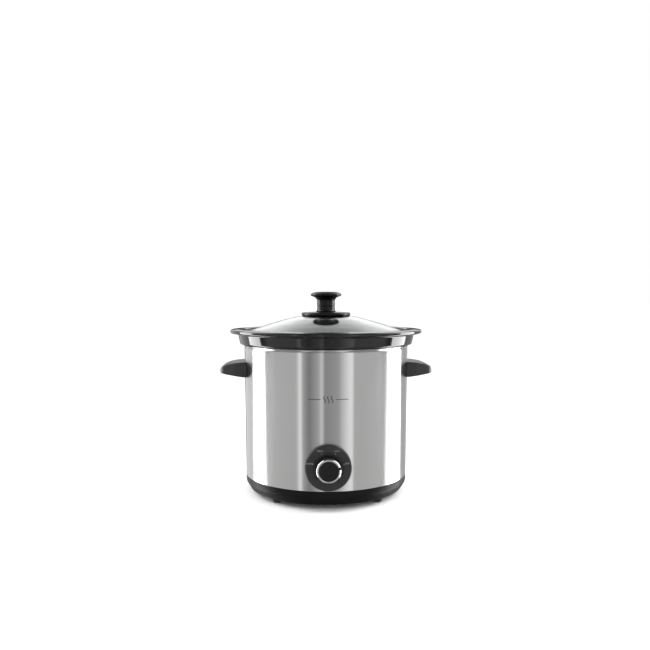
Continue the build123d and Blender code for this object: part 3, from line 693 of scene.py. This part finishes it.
def ink_on_shell(name, path, width):
    """A printed stroke of this width along a path of (across, height) on the steel."""
    points, faces = [], []
    count = len(path)
    for k, (across, height) in enumerate(path):
        last, following = path[max(k - 1, 0)], path[min(k + 1, count - 1)]
        along = Vector((following[0] - last[0], following[1] - last[1])).normalized()
        for side in (-0.5, 0.5):
            u = across - along.y * width * side
            v = height + along.x * width * side
            a = u / SHELL_R
            for r in (SHELL_R - 0.02, SHELL_R + 0.06):
                points.append((r * sin(a), -r * cos(a), v))
    for k in range(count - 1):
        a, b = 4 * k, 4 * (k + 1)
        faces += [(a + 1, b + 1, b + 3, a + 3), (a, a + 2, b + 2, b),
                  (a, b, b + 1, a + 1), (a + 2, a + 3, b + 3, b + 2)]
    faces += [(0, 1, 3, 2), (4 * count - 4, 4 * count - 2, 4 * count - 1, 4 * count - 3)]
    return solid(name, points, faces, steel_print, "housing", "shell_steel")


# Three wisps of steam between two level rules.
MARK_Z = 153.6
WISP_HEIGHT = 9.2
WISP_SWAY = 1.1
WISP_WIDTH = 1.1
RULE_WIDTH = 0.9
for n, shift in enumerate((-5.0, 0.0, 5.0)):
    wisp = [(shift + WISP_SWAY * sin(t / 16 * 2 * pi), MARK_Z - WISP_HEIGHT / 2 + WISP_HEIGHT * t / 16)
            for t in range(17)]
    ink_on_shell(f"steam_wisp_{n + 1}", wisp, WISP_WIDTH)
for n, (left, right) in enumerate(((-27.0, -10.5), (10.5, 27.0))):
    rule = [(left + (right - left) * t / 8, MARK_Z) for t in range(9)]
    ink_on_shell(f"rule_{n + 1}", rule, RULE_WIDTH)


# ------------------------------------------------------------------ crock

crock_outline = rounded([
    (0, 87.5),
    (80.0, 87.5, 1.0),
    (82.0, 86.0, 1.0),
    (104.9, 86.0, 17.0),
    (107.2, 150.0),
    (109.5, 220.4, 1.2),
    (126.0, 220.4, 3.0),
    (129.0, 235.2, 1.5),
    (LIP_R, 236.6, 2.2),
    (LIP_R, 241.6, 2.1),
    (127.5, 242.5, 30.0),
    (117.5, 242.1, 1.8),
    (117.5, 236.0, 0.6),
    (111.5, 236.0, 1.2),
    (111.5, 232.0, 5.0),
    (101.5, 222.0, 9.0),
    (100.0, 160.0),
    (98.0, 95.0, 22.0),
    (0, 95.0),
], 10)
solid("stoneware_crock", *turned(crock_outline, 256), black_glaze, "crock", "glazed_stoneware", "crock")


# ------------------------------------------------------------------ lid

# The glass as (radius, height), from under the knob out to the rim.
dome = [(33.0, 261.3), (37.5, 260.95), (42.0, 260.2), (50.2, 258.4), (57.5, 256.55), (64.9, 254.6),
        (75.2, 251.75), (85.6, 248.6), (94.0, 245.95), (102.0, 243.35), (107.0, 241.75), (110.5, 240.75),
        (113.0, 240.25)]


def smooth(line, steps=4):
    """A curve through the points of a line."""
    made = []
    for k in range(len(line) - 1):
        a, b = line[max(k - 1, 0)], line[k]
        c, d = line[k + 1], line[min(k + 2, len(line) - 1)]
        for n in range(steps):
            t = n / steps
            made.append(tuple(
                0.5 * (2 * b[i] + (c[i] - a[i]) * t + (2 * a[i] - 5 * b[i] + 4 * c[i] - d[i]) * t * t
                       + (3 * b[i] - a[i] - 3 * c[i] + d[i]) * t**3) for i in (0, 1)))
    made.append(line[-1])
    return made


over = smooth(dome)
under = [(r - 0.9 if r < 105 else r - 1.2, h - GLASS) for r, h in over if r < 108.5]
edge = rounded([(113.0, 240.25), (116.0, 239.9, 1.5), (116.0, 236.3, 1.3), (108.5, 236.3)])
glass_outline = ([(4.2, 261.3), (20.0, 261.3)] + over + edge[1:] + list(reversed(under))
                 + [(20.0, 257.3), (4.2, 257.3)])
solid("glass_lid", *turned(glass_outline, 224), tempered_glass, "lid", "lid_glass", "lid_glass")

flange_outline = rounded([
    (5.3, 262.6), (14.0, 262.6), (14.0, 261.4), (36.0, 261.4, 1.9), (36.0, 266.0, 2.4),
    (22.0, 266.9, 8.0), (5.3, 266.9),
], 8)
solid("knob_skirt", *turned(flange_outline, 128), knob_phenolic, "lid", "lid_knob_black", "lid_knob_flange")

grip_outline = rounded([
    (0, 296.3),
    (16.5, 295.9, 8.0),
    (22.4, 293.1, 1.5),
    (22.4, 290.5, 1.3),
    (15.6, 287.9, 5.0),
    (13.0, 284.0, 3.5),
    (13.0, 275.9, 0.3),
    (12.4, 275.4, 0.25),
    (13.0, 274.9, 0.3),
    (13.0, 269.4, 2.4),
    (15.2, 266.9),
    (5.3, 266.9),
    (5.3, 282.9),
    (3.0, 282.9),
    (3.0, 285.9),
    (0, 285.9),
], 8)
solid("lid_grip", *turned(grip_outline, 128), knob_phenolic, "lid", "lid_knob_black", "lid_knob")


# ------------------------------------------------------------------ finishes for the CAD's own pieces

FINISHES = {
    base_polypropylene: ["base_tray"],
    zinc_plate: ["handle_screws_left", "handle_screws_right", "well_stud", "base_washer", "base_nut",
                 "band_clamp", "fuse_clip", "switch_nut", "lid_washer", "lid_screw"],
    dull_sheet: ["heater_band"],
    brass: ["heater_terminals", "switch_terminals", "knob_insert"],
    fuse_aluminium: ["thermal_fuse", "switch_shaft"],
    switch_melamine: ["switch_body"],
    silicone: ["upper_gasket", "lower_gasket"],
    lead_sleeve: ["lead_switch_heater", "lead_switch_fuse", "lead_fuse_heater"],
}
for finish, names in FINISHES.items():
    for name in names:
        slots = nodes[name].material_slots
        if not slots:
            nodes[name].data.materials.append(finish)
        for place in slots:
            place.material = finish


# ------------------------------------------------------------------ floor

# Uncoated seamless paper: matt and almost white, faintly clouded by its fibres.
floor_paper, tree, coords = blank("matt seamless paper")
fibre = add(tree, "ShaderNodeTexNoise", inputs={"Vector": (coords, "Object"), "Scale": per(6), "Detail": 4.0})
tint = add(tree, "ShaderNodeMix", {"data_type": "RGBA"}, {
    0: (fibre, "Fac"), 6: linear("#F4F4F4"), 7: linear("#F8F8F8")})
shader = add(tree, "ShaderNodeBsdfPrincipled", inputs={
    "Base Color": (tint, 2), "Roughness": 0.9, "Specular IOR Level": 0.2})
add(tree, "ShaderNodeOutputMaterial", inputs={"Surface": (shader, "BSDF")})
floor_mesh = bpy.data.meshes.new("floor")
floor_mesh.from_pydata(
    [(x * FLOOR_HALF_M, y * FLOOR_HALF_M, 0) for x, y in ((-1, -1), (1, -1), (1, 1), (-1, 1))],
    [], [(0, 1, 2, 3)])
floor_mesh.materials.append(floor_paper)
floor = bpy.data.objects.new("floor", floor_mesh)
scene.collection.objects.link(floor)
floor.visible_glossy = False
